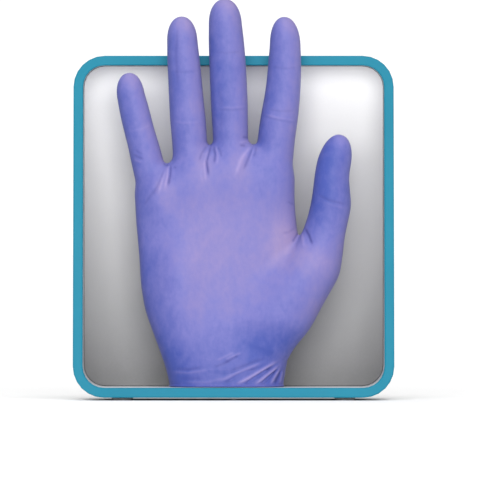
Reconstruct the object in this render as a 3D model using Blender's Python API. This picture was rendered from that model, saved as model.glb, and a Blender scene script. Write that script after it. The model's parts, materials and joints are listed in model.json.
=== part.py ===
"""A glove box: a shallow wedge-shaped case with a teal bezel and a faded grey back panel, in which a
jointed hand form stands on a post and wears a thin elastic glove.

Frame: +Z up, -Y towards the viewer, origin on the table under the middle of the case.
All driving dimensions are in millimetres and become metres where a mesh is made.
"""

import math

import bmesh
import bpy
from mathutils import Vector

MM = 0.001
GAP = 0.3  # clearance between pieces that touch
WELD_DISTANCE = 0.02  # points closer than this are merged after a Boolean

# Case
CASE_WIDTH = 170.0
CASE_HEIGHT = 181.0
CASE_CORNER_RADIUS = 16.5
WALL = 5.2
FRONT_AT_BOTTOM = -31.91
FRONT_AT_TOP = 9.75
BACK = 31.75
FOOT_HEIGHT = 1.5
BEZEL_DEPTH = 4.0
BEZEL_CHAMFER = 0.7
TONGUE = (1.9, 3.3)  # insets of the bezel's tongue, from the outer edge
TONGUE_DEPTH = 2.4
BOARD_THICKNESS = 2.5
PANEL_THICKNESS = 2.0
CORNER_STEPS = 6

# Feet and fasteners
FOOT_RADIUS = 5.5
FOOT_POCKET = 1.0
FOOT_INSET_X = 26.0
FOOT_Y = (-16.0, 20.0)
SCREW_INSET = 2.7
SCREW_HEAD_RADIUS = 1.9
SCREW_SHANK_RADIUS = 0.9
SCREW_LENGTH = 9.0
POST_SCREW_HEAD_RADIUS = 3.4
POST_SCREW_RADIUS = 1.5
POST_SCREW_LENGTH = 16.0

# Post that the hand form stands on
POST_CENTRE = (-3.2, -1.5)
POST_SIZE = (16.0, 12.0)
POST_TOP = 48.0
FLANGE_SIZE = (36.0, 24.0)
FLANGE_THICKNESS = 3.0

# Hand
HAND_Y = -1.5
GLOVE_WALL = 0.8
CORE_OFFSET = GLOVE_WALL + 2 * GAP
GLOVE_BOTTOM = 7.3
CORE_BOTTOM = 10.3
FINGER_SIDES = 12
PALM_SIDES = 24
PALM_POWER = 2.5
FINGER_FLATNESS = 0.9  # a finger's depth over its width

# Palm sections from below the cuff up: left edge (x, z), right edge (x, z), half depth
PALM_SECTIONS = (
    ((-32.6, 2.0), (26.3, 2.0), 20.0),
    ((-37.4, 22.0), (29.4, 22.0), 18.6),
    ((-43.8, 39.0), (34.0, 39.0), 17.0),
    ((-48.4, 54.0), (35.5, 54.0), 15.5),
    ((-50.4, 75.0), (35.0, 77.0), 14.2),
    ((-51.9, 98.0), (32.5, 102.0), 13.2),
    ((-52.4, 110.0), (30.6, 121.0), 12.2),
    ((-48.0, 115.5), (27.5, 127.0), 8.5),
)

# Ball of the thumb: section centres (x, z) and half widths, from the wrist to the thumb's knuckle
THENAR_SECTIONS = (
    ((15.0, 31.0), 10.5),
    ((26.2, 43.5), 14.5),
    ((33.1, 56.5), 14.5),
    ((38.6, 67.5), 14.0),
)
THENAR_LEAN = 31.0
THENAR_DEPTH = 0.88
THUMB_Y = -6.5
THUMB_FLEX_ANGLE = 40.0  # how far the thumb's bending plane turns from the palm's plane, in degrees

# Each digit: root inside the palm and its half width, then the place of its first hinge and of its
# tip's hinge, the tip, half widths at the hinges, and how far each hinge bends. The thumb's tip
# leans off its segment's line, past a pad. Its first link tapers towards its hinge, over a share of
# the link's length and by a depth, so that it bends inside the film over the ball of the thumb.
DIGITS = {
    "index": {
        "root": ((20.4, 113.0), 9.9),
        "hinges": ((24.4, 150.5), (26.9, 175.5)),
        "tip": (27.1, 203.0),
        "half_widths": (9.9, 8.9),
        "bends": (70, 50),
    },
    "middle": {
        "root": ((-1.0, 115.0), 9.2),
        "hinges": ((-2.2, 155.2), (-3.5, 184.0)),
        "tip": (-5.1, 212.5),
        "half_widths": (9.8, 9.4),
        "bends": (70, 50),
    },
    "ring": {
        "root": ((-22.2, 113.0), 9.2),
        "hinges": ((-24.2, 148.1), (-26.0, 173.8)),
        "tip": (-27.8, 203.2),
        "half_widths": (9.5, 8.8),
        "bends": (70, 50),
    },
    "little": {
        "root": ((-42.5, 112.0), 9.0),
        "hinges": ((-49.8, 142.5), (-53.8, 157.5)),
        "tip": (-56.4, 173.2),
        "half_widths": (8.2, 7.8),
        "bends": (65, 50),
    },
    "thumb": {
        "root": THENAR_SECTIONS[-1],
        "hinges": ((46.0, 81.9), (51.6, 105.9)),
        "pad": ((52.2, 121.0), 9.2),
        "tip": (57.2, 140.6),
        "half_widths": (12.0, 10.3),
        "bends": (30, 50),
        "taper": (0.55, 3.0),
    },
}
SEGMENTS = ("middle", "tip")
TIP_WIDTH_SHARE = 0.93  # the fingertip's width where its dome starts, over the last hinge's
DOME_SHARE = 1.15  # the dome's height over its half width
DOME_ANGLES = (0.0, 35.0, 62.0)

# Knuckle joints of the form
TONGUE_HALF_THICKNESS = 2.0
EAR_THICKNESS = 2.2
EYE_RADIUS_MOST = 4.4
PIN_RADIUS = 1.1

COLOURS = {
    "teal_plastic": ((0.035, 0.33, 0.50), 0.35, 0.0),
    "case_plastic": ((0.72, 0.73, 0.74), 0.45, 0.0),
    "panel_sheet": ((0.55, 0.55, 0.57), 0.4, 0.0),
    "board_plastic": ((0.20, 0.21, 0.22), 0.6, 0.0),
    "foot_rubber": ((0.52, 0.54, 0.55), 0.7, 0.0),
    "steel": ((0.60, 0.60, 0.62), 0.3, 1.0),
    "form_plastic": ((0.80, 0.79, 0.75), 0.6, 0.0),
    "nitrile": ((0.23, 0.22, 0.62), 0.5, 0.0),
}


def clear_scene():
    """Remove everything that the file opened with."""
    for obj in list(bpy.data.objects):
        bpy.data.objects.remove(obj)


def make_materials():
    """One Principled material for each finish."""
    made = {}
    for name, (colour, roughness, metallic) in COLOURS.items():
        material = bpy.data.materials.new(name)
        material.use_nodes = True
        shader = material.node_tree.nodes["Principled BSDF"]
        shader.inputs["Base Color"].default_value = (*colour, 1.0)
        shader.inputs["Roughness"].default_value = roughness
        shader.inputs["Metallic"].default_value = metallic
        made[name] = material
    return made


def mesh_object(name, points, faces, finish):
    """A linked object from points in millimetres, with its normals made to face out."""
    mesh = bpy.data.meshes.new(name)
    mesh.from_pydata([Vector(p) * MM for p in points], [], faces)
    shape = bmesh.new()
    shape.from_mesh(mesh)
    bmesh.ops.recalc_face_normals(shape, faces=shape.faces)
    shape.to_mesh(mesh)
    shape.free()
    mesh.shade_smooth()
    mesh.set_sharp_from_angle(angle=math.radians(35))
    mesh.materials.append(MATERIALS[finish])
    obj = bpy.data.objects.new(name, mesh)
    bpy.context.scene.collection.objects.link(obj)
    return obj


def combine(target, tool, operation):
    """Apply an exact Boolean of tool to target, and remove the tool."""
    modifier = target.modifiers.new("combine", "BOOLEAN")
    modifier.object = tool
    modifier.operation = operation
    modifier.solver = "EXACT"
    graph = bpy.context.evaluated_depsgraph_get()
    result = bpy.data.meshes.new_from_object(target.evaluated_get(graph))
    target.modifiers.clear()
    target.data = result
    bpy.data.objects.remove(tool)
    weld(target.data)


def weld(mesh):
    """Merge the sliver edges that a Boolean leaves where surfaces almost meet."""
    shape = bmesh.new()
    shape.from_mesh(mesh)
    bmesh.ops.remove_doubles(shape, verts=shape.verts, dist=WELD_DISTANCE * MM)
    shape.to_mesh(mesh)
    shape.free()


def place_on(obj, joint):
    """Put the object's origin on the joint, an empty, and parent it there."""
    obj.data.transform(joint.matrix_world.inverted())
    obj.parent = joint


def joint_empty(name, position, parent=None):
    """An empty at a joint, in millimetres, nested under the joint that carries it."""
    empty = bpy.data.objects.new(name, None)
    empty.empty_display_size = 8 * MM
    bpy.context.scene.collection.objects.link(empty)
    place = Vector(position) * MM
    if parent is not None:
        place -= parent.matrix_world.translation
        empty.parent = parent
    empty.location = place
    bpy.context.view_layer.update()
    return empty


def ring(centre, across, depth, half_across, half_depth, sides, power=2.0):
    """Points of a superellipse about centre, in the plane of two unit vectors."""
    points = []
    for step in range(sides):
        angle = 2 * math.pi * step / sides
        c, s = math.cos(angle), math.sin(angle)
        a = math.copysign(abs(c) ** (2 / power), c) * half_across
        d = math.copysign(abs(s) ** (2 / power), s) * half_depth
        points.append(centre + across * a + depth * d)
    return points


def loft(name, rings, finish, closed_loop=False, end_point=None, start_point=None):
    """A closed skin over successive rings. It is capped at both ends, or ends in a point, or joins
    its last ring to its first."""
    sides = len(rings[0])
    points = [p for r in rings for p in r]
    faces = []
    pairs = list(zip(range(len(rings) - 1), range(1, len(rings))))
    if closed_loop:
        pairs.append((len(rings) - 1, 0))
    for low, high in pairs:
        for k in range(sides):
            n = (k + 1) % sides
            faces.append((low * sides + k, low * sides + n, high * sides + n, high * sides + k))
    for at_end, tip in ((True, end_point), (False, start_point)):
        if closed_loop:
            continue
        first = (len(rings) - 1) * sides if at_end else 0
        edge = list(range(first, first + sides))
        if tip is None:
            faces.append(edge if at_end else edge[::-1])
            continue
        points.append(tip)
        apex = len(points) - 1
        for k in range(sides):
            faces.append((edge[k], edge[(k + 1) % sides], apex))
    return mesh_object(name, points, faces, finish)


def prism(name, outline, direction, finish):
    """Extrude a closed outline, a list of points, along direction."""
    return loft(name, [outline, [p + direction for p in outline]], finish)


def box(name, low, high, finish):
    """A rectangular block between two corners."""
    (x0, y0, z0), (x1, y1, z1) = low, high
    outline = [Vector((x0, y0, z0)), Vector((x1, y0, z0)), Vector((x1, y1, z0)), Vector((x0, y1, z0))]
    return prism(name, outline, Vector((0, 0, z1 - z0)), finish)


def cylinder(name, base, direction, radius, sides, finish):
    """A round bar from base along direction."""
    axis = direction.normalized()
    across = axis.orthogonal().normalized()
    outline = ring(base, across, axis.cross(across), radius, radius, sides)
    return prism(name, outline, direction, finish)


def turned_screw(name, head_face, inward, head_radius, shank_radius, length, finish):
    """A countersunk screw: its head's face, a cone, a shank and a pointed end, with a hex socket."""
    across = inward.orthogonal().normalized()
    side = inward.cross(across)
    cone = head_radius - shank_radius
    stations = (
        (0.0, head_radius),
        (0.35, head_radius),
        (0.35 + cone, shank_radius),
        (length - shank_radius, shank_radius),
    )
    rings = [ring(head_face + inward * t, across, side, r, r, 16) for t, r in stations]
    screw = loft(name, rings, finish, end_point=head_face + inward * length)
    socket = ring(head_face - inward, across, side, head_radius * 0.5, head_radius * 0.5, 6)
    combine(screw, prism("socket", socket, inward * (1 + cone * 0.7), finish), "DIFFERENCE")
    return screw


def screw_hole(head_face, inward, head_radius, shank_radius, length):
    """The cutter for a countersunk screw's hole, a gap wider than the screw."""
    across = inward.orthogonal().normalized()
    side = inward.cross(across)
    cone = head_radius - shank_radius
    stations = (
        (-1.0, head_radius + GAP),
        (0.5, head_radius + GAP),
        (0.5 + cone, shank_radius + GAP),
        (length + GAP, shank_radius + GAP),
    )
    rings = [ring(head_face + inward * t, across, side, r, r, 16) for t, r in stations]
    return loft("hole", rings, "steel")


# Case


def front_at(z):
    """The y of the case's sloping front at height z."""
    share = (z - FOOT_HEIGHT) / CASE_HEIGHT
    return FRONT_AT_BOTTOM + share * (FRONT_AT_TOP - FRONT_AT_BOTTOM)


def case_outline(inset):
    """(x, z) points of the case's rounded rectangle, moved in by inset."""
    half_width = CASE_WIDTH / 2 - inset
    half_height = CASE_HEIGHT / 2 - inset
    radius = CASE_CORNER_RADIUS - inset
    middle = FOOT_HEIGHT + CASE_HEIGHT / 2
    corners = ((1, 1, 0), (-1, 1, 90), (-1, -1, 180), (1, -1, 270))
    points = []
    for sign_x, sign_z, start in corners:
        centre_x = sign_x * (half_width - radius)
        centre_z = middle + sign_z * (half_height - radius)
        for step in range(CORNER_STEPS + 1):
            angle = math.radians(start + 90 * step / CORNER_STEPS)
            points.append((centre_x + radius * math.cos(angle), centre_z + radius * math.sin(angle)))
    return points


def from_front(inset, depth):
    """One loop of a section, at a distance behind the sloping front."""
    return [Vector((x, front_at(z) + depth, z)) for x, z in case_outline(inset)]


def from_back(inset, depth):
    """One loop of a section, at a distance in front of the case's flat back."""
    return [Vector((x, BACK - depth, z)) for x, z in case_outline(inset)]


def corner_screw_places():
    """The centres of the four board screws, on the corner arcs at the middle of the wall."""
    reach = CASE_CORNER_RADIUS - SCREW_INSET
    offset = reach * math.cos(math.radians(45))
    places = []
    for sign_z in (-1, 1):
        for sign_x in (-1, 1):
            x = sign_x * (CASE_WIDTH / 2 - CASE_CORNER_RADIUS + offset)
            z = FOOT_HEIGHT + CASE_HEIGHT / 2 + sign_z * (CASE_HEIGHT / 2 - CASE_CORNER_RADIUS + offset)
            places.append(Vector((x, BACK, z)))
    return places


def foot_places():
    """The centres of the four feet, on the table."""
    reach = CASE_WIDTH / 2 - FOOT_INSET_X
    return [Vector((sign * reach, y, 0)) for y in FOOT_Y for sign in (-1, 1)]


def make_case_shell():
    """The case's wall: a rounded tube with a sloping front, grooved for the bezel's tongue."""
    front = BEZEL_DEPTH + GAP
    rear = BOARD_THICKNESS + GAP
    groove = (TONGUE[0] - GAP, TONGUE[1] + GAP)
    bottom = BEZEL_DEPTH + TONGUE_DEPTH + GAP
    section = [
        from_front(0, front),
        from_back(0, rear),
        from_back(WALL, rear),
        from_front(WALL, front),
        from_front(groove[1], front),
        from_front(groove[1], bottom),
        from_front(groove[0], bottom),
        from_front(groove[0], front),
    ]
    shell = loft("case_shell", section, "case_plastic", closed_loop=True)
    for place in corner_screw_places():
        hole = screw_hole(place, Vector((0, -1, 0)), SCREW_HEAD_RADIUS, SCREW_SHANK_RADIUS, SCREW_LENGTH)
        combine(shell, hole, "DIFFERENCE")
    for place in foot_places():
        pocket_top = FOOT_HEIGHT + FOOT_POCKET
        pocket = cylinder("pocket", place, Vector((0, 0, pocket_top)), FOOT_RADIUS + GAP, 20, "case_plastic")
        combine(shell, pocket, "DIFFERENCE")
    head_face = Vector((*POST_CENTRE, FOOT_HEIGHT + GAP))
    hole = screw_hole(
        head_face, Vector((0, 0, 1)), POST_SCREW_HEAD_RADIUS, POST_SCREW_RADIUS, POST_SCREW_LENGTH
    )
    combine(shell, hole, "DIFFERENCE")
    return shell


def make_front_bezel():
    """The visible teal rim, with softened edges and a tongue that seats in the shell."""
    section = [
        from_front(0, BEZEL_DEPTH),
        from_front(0, BEZEL_CHAMFER),
        from_front(BEZEL_CHAMFER * 0.3, BEZEL_CHAMFER * 0.3),
        from_front(BEZEL_CHAMFER, 0),
        from_front(WALL - BEZEL_CHAMFER, 0),
        from_front(WALL - BEZEL_CHAMFER * 0.3, BEZEL_CHAMFER * 0.3),
        from_front(WALL, BEZEL_CHAMFER),
        from_front(WALL, BEZEL_DEPTH),
        from_front(TONGUE[1], BEZEL_DEPTH),
        from_front(TONGUE[1], BEZEL_DEPTH + TONGUE_DEPTH),
        from_front(TONGUE[0], BEZEL_DEPTH + TONGUE_DEPTH),
        from_front(TONGUE[0], BEZEL_DEPTH),
    ]
    return loft("front_bezel", section, "teal_plastic", closed_loop=True)


def make_back_board():
    """The flat plate that closes the case, countersunk for its four screws."""
    board = loft("back_board", [from_back(0, 0), from_back(0, BOARD_THICKNESS)], "board_plastic")
    for place in corner_screw_places():
        hole = screw_hole(place, Vector((0, -1, 0)), SCREW_HEAD_RADIUS, SCREW_SHANK_RADIUS, SCREW_LENGTH)
        combine(board, hole, "DIFFERENCE")
    return board


def make_fade_panel():
    """The grey sheet that lines the back of the case, bonded to the board."""
    rear = BOARD_THICKNESS + GAP
    inset = WALL + GAP
    loops = [from_back(inset, rear), from_back(inset, rear + PANEL_THICKNESS)]
    return loft("fade_panel", loops, "panel_sheet")


def make_board_screws():
    """One countersunk screw in each corner of the board."""
    names = ("low_left", "low_right", "top_left", "top_right")
    for name, place in zip(names, corner_screw_places()):
        turned_screw(
            f"board_screw_{name}",
            place + Vector((0, -0.1, 0)),
            Vector((0, -1, 0)),
            SCREW_HEAD_RADIUS,
            SCREW_SHANK_RADIUS,
            SCREW_LENGTH,
            "steel",
        )


def make_feet():
    """Four rubber discs, set into pockets in the case's floor."""
    names = ("front_left", "front_right", "rear_left", "rear_right")
    height = FOOT_HEIGHT + FOOT_POCKET - GAP
    for name, place in zip(names, foot_places()):
        stations = ((0.0, FOOT_RADIUS - 0.5), (0.5, FOOT_RADIUS), (height, FOOT_RADIUS))
        rings = [
            ring(place + Vector((0, 0, z)), Vector((1, 0, 0)), Vector((0, 1, 0)), r, r, 20)
            for z, r in stations
        ]
        loft(f"foot_{name}", rings, "foot_rubber")


def make_form_post():
    """The square post that the hand form drops onto, with a flange on the case's floor."""
    floor = FOOT_HEIGHT + WALL + GAP
    x, y = POST_CENTRE
    half_x, half_y = POST_SIZE[0] / 2, POST_SIZE[1] / 2
    flange_x, flange_y = FLANGE_SIZE[0] / 2, FLANGE_SIZE[1] / 2
    flange_top = floor + FLANGE_THICKNESS
    post = box(
        "form_post",
        (x - flange_x, y - flange_y, floor),
        (x + flange_x, y + flange_y, flange_top),
        "form_plastic",
    )
    lead_in = 2.0
    stations = (
        (floor + 1, half_x, half_y),
        (POST_TOP - lead_in, half_x, half_y),
        (POST_TOP, half_x - lead_in, half_y - lead_in),
    )
    rings = [
        [Vector((x + a * u, y + b * v, z)) for u, v in ((-1, -1), (1, -1), (1, 1), (-1, 1))]
        for z, a, b in stations
    ]
    combine(post, loft("shaft", rings, "form_plastic"), "UNION")
    head_face = Vector((x, y, FOOT_HEIGHT + GAP))
    hole = screw_hole(
        head_face, Vector((0, 0, 1)), POST_SCREW_HEAD_RADIUS, POST_SCREW_RADIUS, POST_SCREW_LENGTH
    )
    combine(post, hole, "DIFFERENCE")
    return turned_screw(
        "post_screw",
        head_face + Vector((0, 0, 0.1)),
        Vector((0, 0, 1)),
        POST_SCREW_HEAD_RADIUS,
        POST_SCREW_RADIUS,
        POST_SCREW_LENGTH,
        "steel",
    )


# Hand form and glove


class Hinge:
    """A hinge's place and axes: along the digit, the way it bends, and its own axis."""

    def __init__(self, place, along, flex, half_width, bend):
        self.place = place
        self.along = along
        self.flex = (flex - along * flex.dot(along)).normalized()
        self.axis = along.cross(self.flex)
        self.half_width = half_width
        self.half_depth = half_width * FINGER_FLATNESS
        self.pad = None
        self.taper = None
        # Pieces stop this far short of the hinge, so that they clear each other when it bends.
        self.clear = self.half_depth * math.tan(math.radians(bend) / 2) + 0.4
        self.eye_radius = min(EYE_RADIUS_MOST, self.clear - GAP)

    def ring(self, distance, offset):
        """A section across the digit, at a distance from the hinge and inside the glove's skin."""
        return ring(
            self.place + self.along * distance,
            self.axis,
            self.flex,
            self.half_width - offset,
            self.half_depth - offset,
            FINGER_SIDES,
        )


def digit_line(name):
    """A digit's centres in space: its root, its two hinges and its tip."""
    digit = DIGITS[name]
    y = THUMB_Y if name == "thumb" else HAND_Y
    return [Vector((x, y, z)) for x, z in (digit["root"][0], *digit["hinges"], digit["tip"])]


def digit_flex(name):
    """The way a digit bends, in the plane across the hand."""
    if name == "thumb":
        angle = math.radians(THUMB_FLEX_ANGLE)
        return Vector((-math.cos(angle), -math.sin(angle), 0))
    return Vector((0, -1, 0))


def digit_hinges(name):
    """A digit's two hinges, from its root, and the point of its tip."""
    digit = DIGITS[name]
    line = digit_line(name)
    hinges = []
    for k in (1, 2):
        before = (line[k] - line[k - 1]).normalized()
        after = (line[k + 1] - line[k]).normalized()
        along = (before + after).normalized()
        half_width, bend = digit["half_widths"][k - 1], digit["bends"][k - 1]
        hinges.append(Hinge(line[k], along, digit_flex(name), half_width, bend))
    hinges[0].taper = digit.get("taper")
    hinges[-1].pad = digit.get("pad")
    return hinges, line[3]


def segment_rings(hinge, following, tip, offset):
    """The sections of one digit segment, and its end point if it is the last."""
    rings = [hinge.ring(hinge.clear, offset)]
    if following is not None:
        rings.append(following.ring(-following.clear, offset))
        return rings, None
    along = (tip - hinge.place).normalized()
    half_width = hinge.half_width * TIP_WIDTH_SHARE
    dome = half_width * DOME_SHARE
    if hinge.pad is not None:
        (x, z), half_width = hinge.pad
        pad = Vector((x, hinge.place.y, z))
        along = (tip - pad).normalized()
        dome = (tip - pad).length
    centre = tip - along * dome
    for degrees in DOME_ANGLES:
        c, s = math.cos(math.radians(degrees)), math.sin(math.radians(degrees))
        width = half_width * c - offset
        depth = half_width * FINGER_FLATNESS * c - offset
        point = centre + along * (dome - offset) * s
        rings.append(ring(point, hinge.axis, hinge.flex, width, depth, FINGER_SIDES))
    return rings, tip - along * offset


def eye_tab(hinge, low, high, toward, reach):
    """A flat tab round the hinge, between two distances along its axis, reaching towards a segment."""
    radius = hinge.eye_radius
    outline = []
    for step in range(9):
        angle = math.radians(-90 + 180 * step / 8)
        back = -toward * math.cos(angle) * radius
        side = math.sin(angle) * radius
        outline.append(hinge.place + hinge.along * back + hinge.flex * side)
    for side in (radius, -radius):
        outline.append(hinge.place + hinge.along * toward * reach + hinge.flex * side)
    outline = [p + hinge.axis * low for p in outline]
    return prism("tab", outline, hinge.axis * (high - low), "form_plastic")


def drill(link, hinge):
    """Cut the pin's hole through a link."""
    half = TONGUE_HALF_THICKNESS + EAR_THICKNESS + 2
    start = hinge.place - hinge.axis * half
    cutter = cylinder("drill", start, hinge.axis * 2 * half, PIN_RADIUS + GAP, 12, "steel")
    combine(link, cutter, "DIFFERENCE")


def add_tongue(link, hinge):
    """The single tab at a segment's root."""
    half = TONGUE_HALF_THICKNESS
    combine(link, eye_tab(hinge, -half, half, 1, hinge.clear + 1.5), "UNION")
    drill(link, hinge)


def add_ears(link, hinge):
    """The pair of tabs that the next segment's tongue turns between."""
    inner = TONGUE_HALF_THICKNESS + GAP
    outer = inner + EAR_THICKNESS
    for low, high in ((inner, outer), (-outer, -inner)):
        combine(link, eye_tab(hinge, low, high, -1, hinge.clear + 1.5), "UNION")
    drill(link, hinge)


def make_pin(name, hinge, joint):
    """The hinge pin, flush with the ears."""
    half = TONGUE_HALF_THICKNESS + GAP + EAR_THICKNESS
    start = hinge.place - hinge.axis * half
    pin = cylinder(name, start, hinge.axis * 2 * half, PIN_RADIUS, 10, "steel")
    place_on(pin, joint)


def make_sleeve(name, hinge, following, tip, joint):
    """The glove's skin round one segment: open at both ends, or closed over the fingertip."""
    outer, outer_tip = segment_rings(hinge, following, tip, 0.0)
    inner, inner_tip = segment_rings(hinge, following, tip, GLOVE_WALL)
    if outer_tip is None:
        sleeve = loft(name, outer + inner[::-1], "nitrile", closed_loop=True)
    else:
        rings = outer[::-1] + inner
        sleeve = loft(name, rings, "nitrile", start_point=outer_tip, end_point=inner_tip)
    place_on(sleeve, joint)


def make_digit(name, hand_joint):
    """The links, pins and glove sleeves of one digit, each on the empty of its own joint."""
    hinges, tip = digit_hinges(name)
    parent = hand_joint
    for k, hinge in enumerate(hinges):
        following = hinges[k + 1] if k + 1 < len(hinges) else None
        segment = f"{name}_{SEGMENTS[k]}"
        joint = joint_empty(f"{segment}_joint", hinge.place, parent)
        rings, end = segment_rings(hinge, following, tip, CORE_OFFSET)
        if hinge.taper is not None:
            share, depth = hinge.taper
            narrow = hinge.ring(hinge.clear, CORE_OFFSET + depth)
            full = [low.lerp(high, share) for low, high in zip(rings[0], rings[1])]
            rings = [narrow, full, *rings[1:]]
        link = loft(f"{segment}_link", rings, "form_plastic", end_point=end)
        add_tongue(link, hinge)
        if following is not None:
            add_ears(link, following)
        place_on(link, joint)
        make_pin(f"{segment}_pin", hinge, parent)
        make_sleeve(f"glove_{segment}", hinge, following, tip, joint)
        parent = joint


def palm_rings(offset):
    """The palm's sections, moved in by offset."""
    rings = []
    last = len(PALM_SECTIONS) - 1
    for k, ((x0, z0), (x1, z1), half_depth) in enumerate(PALM_SECTIONS):
        left, right = Vector((x0, HAND_Y, z0)), Vector((x1, HAND_Y, z1))
        across = (right - left).normalized()
        half = (right - left).length / 2 - offset
        centre = (left + right) / 2
        if k == last:
            centre.z -= offset
        depth = half_depth - offset
        rings.append(ring(centre, across, Vector((0, -1, 0)), half, depth, PALM_SIDES, PALM_POWER))
    return rings


def hand_solid(name, offset, finish, overrun=0.0):
    """The palm, the ball of the thumb and the roots of the digits in one body, moved in by offset.
    The ends of its digits run on by overrun, for use as a cutter."""
    hand = loft(name, palm_rings(offset), finish)
    toward = Vector((0, -1, 0))
    for digit in DIGITS:
        hinge = digit_hinges(digit)[0][0]
        if digit == "thumb":
            lean = math.radians(THENAR_LEAN)
            across = Vector((math.cos(lean), 0, -math.sin(lean)))
            rings = []
            for (x, z), half_width in THENAR_SECTIONS:
                half, depth = half_width - offset, half_width * THENAR_DEPTH - offset
                centre = Vector((x, THUMB_Y, z))
                rings.append(turned_ring(centre, across, toward, half, depth, hinge))
        else:
            place = digit_line(digit)[0]
            half_width = DIGITS[digit]["root"][1]
            half, depth = half_width - offset, half_width * FINGER_FLATNESS - offset
            rings = [ring(place, hinge.axis, hinge.flex, half, depth, FINGER_SIDES)]
        rings.append(hinge.ring(-hinge.clear, offset))
        if overrun:
            rings.append(hinge.ring(-hinge.clear + overrun, offset))
        combine(hand, loft("root", rings, finish), "UNION")
    return hand


def turned_ring(centre, across, depth, half_across, half_depth, hinge):
    """A ring whose first point lies to the side that the hinge's own first point lies on."""
    points = ring(centre, across, depth, half_across, half_depth, FINGER_SIDES)
    first = hinge.ring(0, 0)[0] - hinge.place
    normal = across.cross(depth)
    if normal.dot(hinge.along) * hinge.axis.cross(hinge.flex).dot(hinge.along) < 0:
        points.reverse()
    start = max(range(len(points)), key=lambda k: (points[k] - centre).normalized().dot(first))
    return points[start:] + points[:start]


def cut_below(obj, height):
    """Cut away everything below a height."""
    slab = box("slab", (-100, -100, -50), (100, 100, height), "nitrile")
    combine(obj, slab, "DIFFERENCE")


def make_palm(hand_joint):
    """The form's palm, with its socket and finger hinges, and the glove's palm with its cuff."""
    core = hand_solid("palm_core", CORE_OFFSET, "form_plastic")
    cut_below(core, CORE_BOTTOM)
    x, y = POST_CENTRE
    half_x, half_y = POST_SIZE[0] / 2 + GAP, POST_SIZE[1] / 2 + GAP
    socket = box(
        "socket",
        (x - half_x, y - half_y, CORE_BOTTOM - 5),
        (x + half_x, y + half_y, POST_TOP + 1),
        "form_plastic",
    )
    combine(core, socket, "DIFFERENCE")
    for digit in DIGITS:
        add_ears(core, digit_hinges(digit)[0][0])
    place_on(core, hand_joint)

    glove = hand_solid("glove_palm", 0.0, "nitrile")
    cut_below(glove, GLOVE_BOTTOM)
    inside = hand_solid("inside", GLOVE_WALL, "nitrile", overrun=2.0)
    combine(glove, inside, "DIFFERENCE")
    place_on(glove, hand_joint)


def shade_all():
    """Smooth shading with hard edges kept, after the Booleans."""
    for obj in bpy.data.objects:
        if obj.type == "MESH":
            obj.data.shade_smooth()
            obj.data.set_sharp_from_angle(angle=math.radians(35))


def main():
    make_case_shell()
    make_front_bezel()
    make_fade_panel()
    make_back_board()
    make_board_screws()
    make_feet()
    make_form_post()
    hand_joint = joint_empty("hand_lift", (*POST_CENTRE, CORE_BOTTOM))
    make_palm(hand_joint)
    for name in DIGITS:
        make_digit(name, hand_joint)
    shade_all()


clear_scene()
MATERIALS = make_materials()
main()
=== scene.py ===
import json
import math

import bmesh
import bpy
import numpy as np
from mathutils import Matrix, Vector


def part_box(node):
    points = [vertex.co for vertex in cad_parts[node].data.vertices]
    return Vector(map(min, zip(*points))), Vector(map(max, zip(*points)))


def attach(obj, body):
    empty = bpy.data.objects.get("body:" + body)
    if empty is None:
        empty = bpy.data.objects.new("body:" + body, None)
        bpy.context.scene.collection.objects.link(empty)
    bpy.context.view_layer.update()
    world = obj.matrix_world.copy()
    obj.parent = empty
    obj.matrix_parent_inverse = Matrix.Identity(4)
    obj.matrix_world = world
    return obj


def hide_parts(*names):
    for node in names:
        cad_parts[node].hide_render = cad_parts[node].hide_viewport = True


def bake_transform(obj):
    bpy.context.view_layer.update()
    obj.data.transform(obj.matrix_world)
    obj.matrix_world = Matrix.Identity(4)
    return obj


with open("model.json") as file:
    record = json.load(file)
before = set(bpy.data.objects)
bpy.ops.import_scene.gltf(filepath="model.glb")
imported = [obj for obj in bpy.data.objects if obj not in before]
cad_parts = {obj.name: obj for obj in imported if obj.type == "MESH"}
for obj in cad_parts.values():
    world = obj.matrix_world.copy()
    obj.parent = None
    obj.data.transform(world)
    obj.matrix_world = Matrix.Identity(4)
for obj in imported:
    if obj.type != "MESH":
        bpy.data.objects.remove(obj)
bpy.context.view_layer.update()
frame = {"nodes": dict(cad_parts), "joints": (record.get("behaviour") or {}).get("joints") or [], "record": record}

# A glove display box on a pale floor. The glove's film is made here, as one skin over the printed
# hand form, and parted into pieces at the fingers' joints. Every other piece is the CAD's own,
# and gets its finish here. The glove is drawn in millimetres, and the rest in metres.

MM = 0.001
CELL = 0.6  # grid step of the glove's surface

record = frame["record"]
joints = {joint["name"]: joint for joint in frame["joints"]}
case_low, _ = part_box("case_shell")
finger_low, finger_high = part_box("glove_middle_tip")
post_low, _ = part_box("form_post")

HAND_Y = (finger_low.y + finger_high.y) / 2 / MM
THUMB_Y = joints["thumb_tip_hinge"]["pos_m"][1] / MM
POST_GAP = 0.3  # between the post and the case's floor
CUFF_GAP = 0.25  # between the case's floor and the cuff's bead
CUFF_BOTTOM = post_low.z / MM - POST_GAP + CUFF_GAP
BEAD_DROP = 0.84  # how far the bead hangs below the net's free edge
CUFF_EDGE = CUFF_BOTTOM + BEAD_DROP

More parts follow.
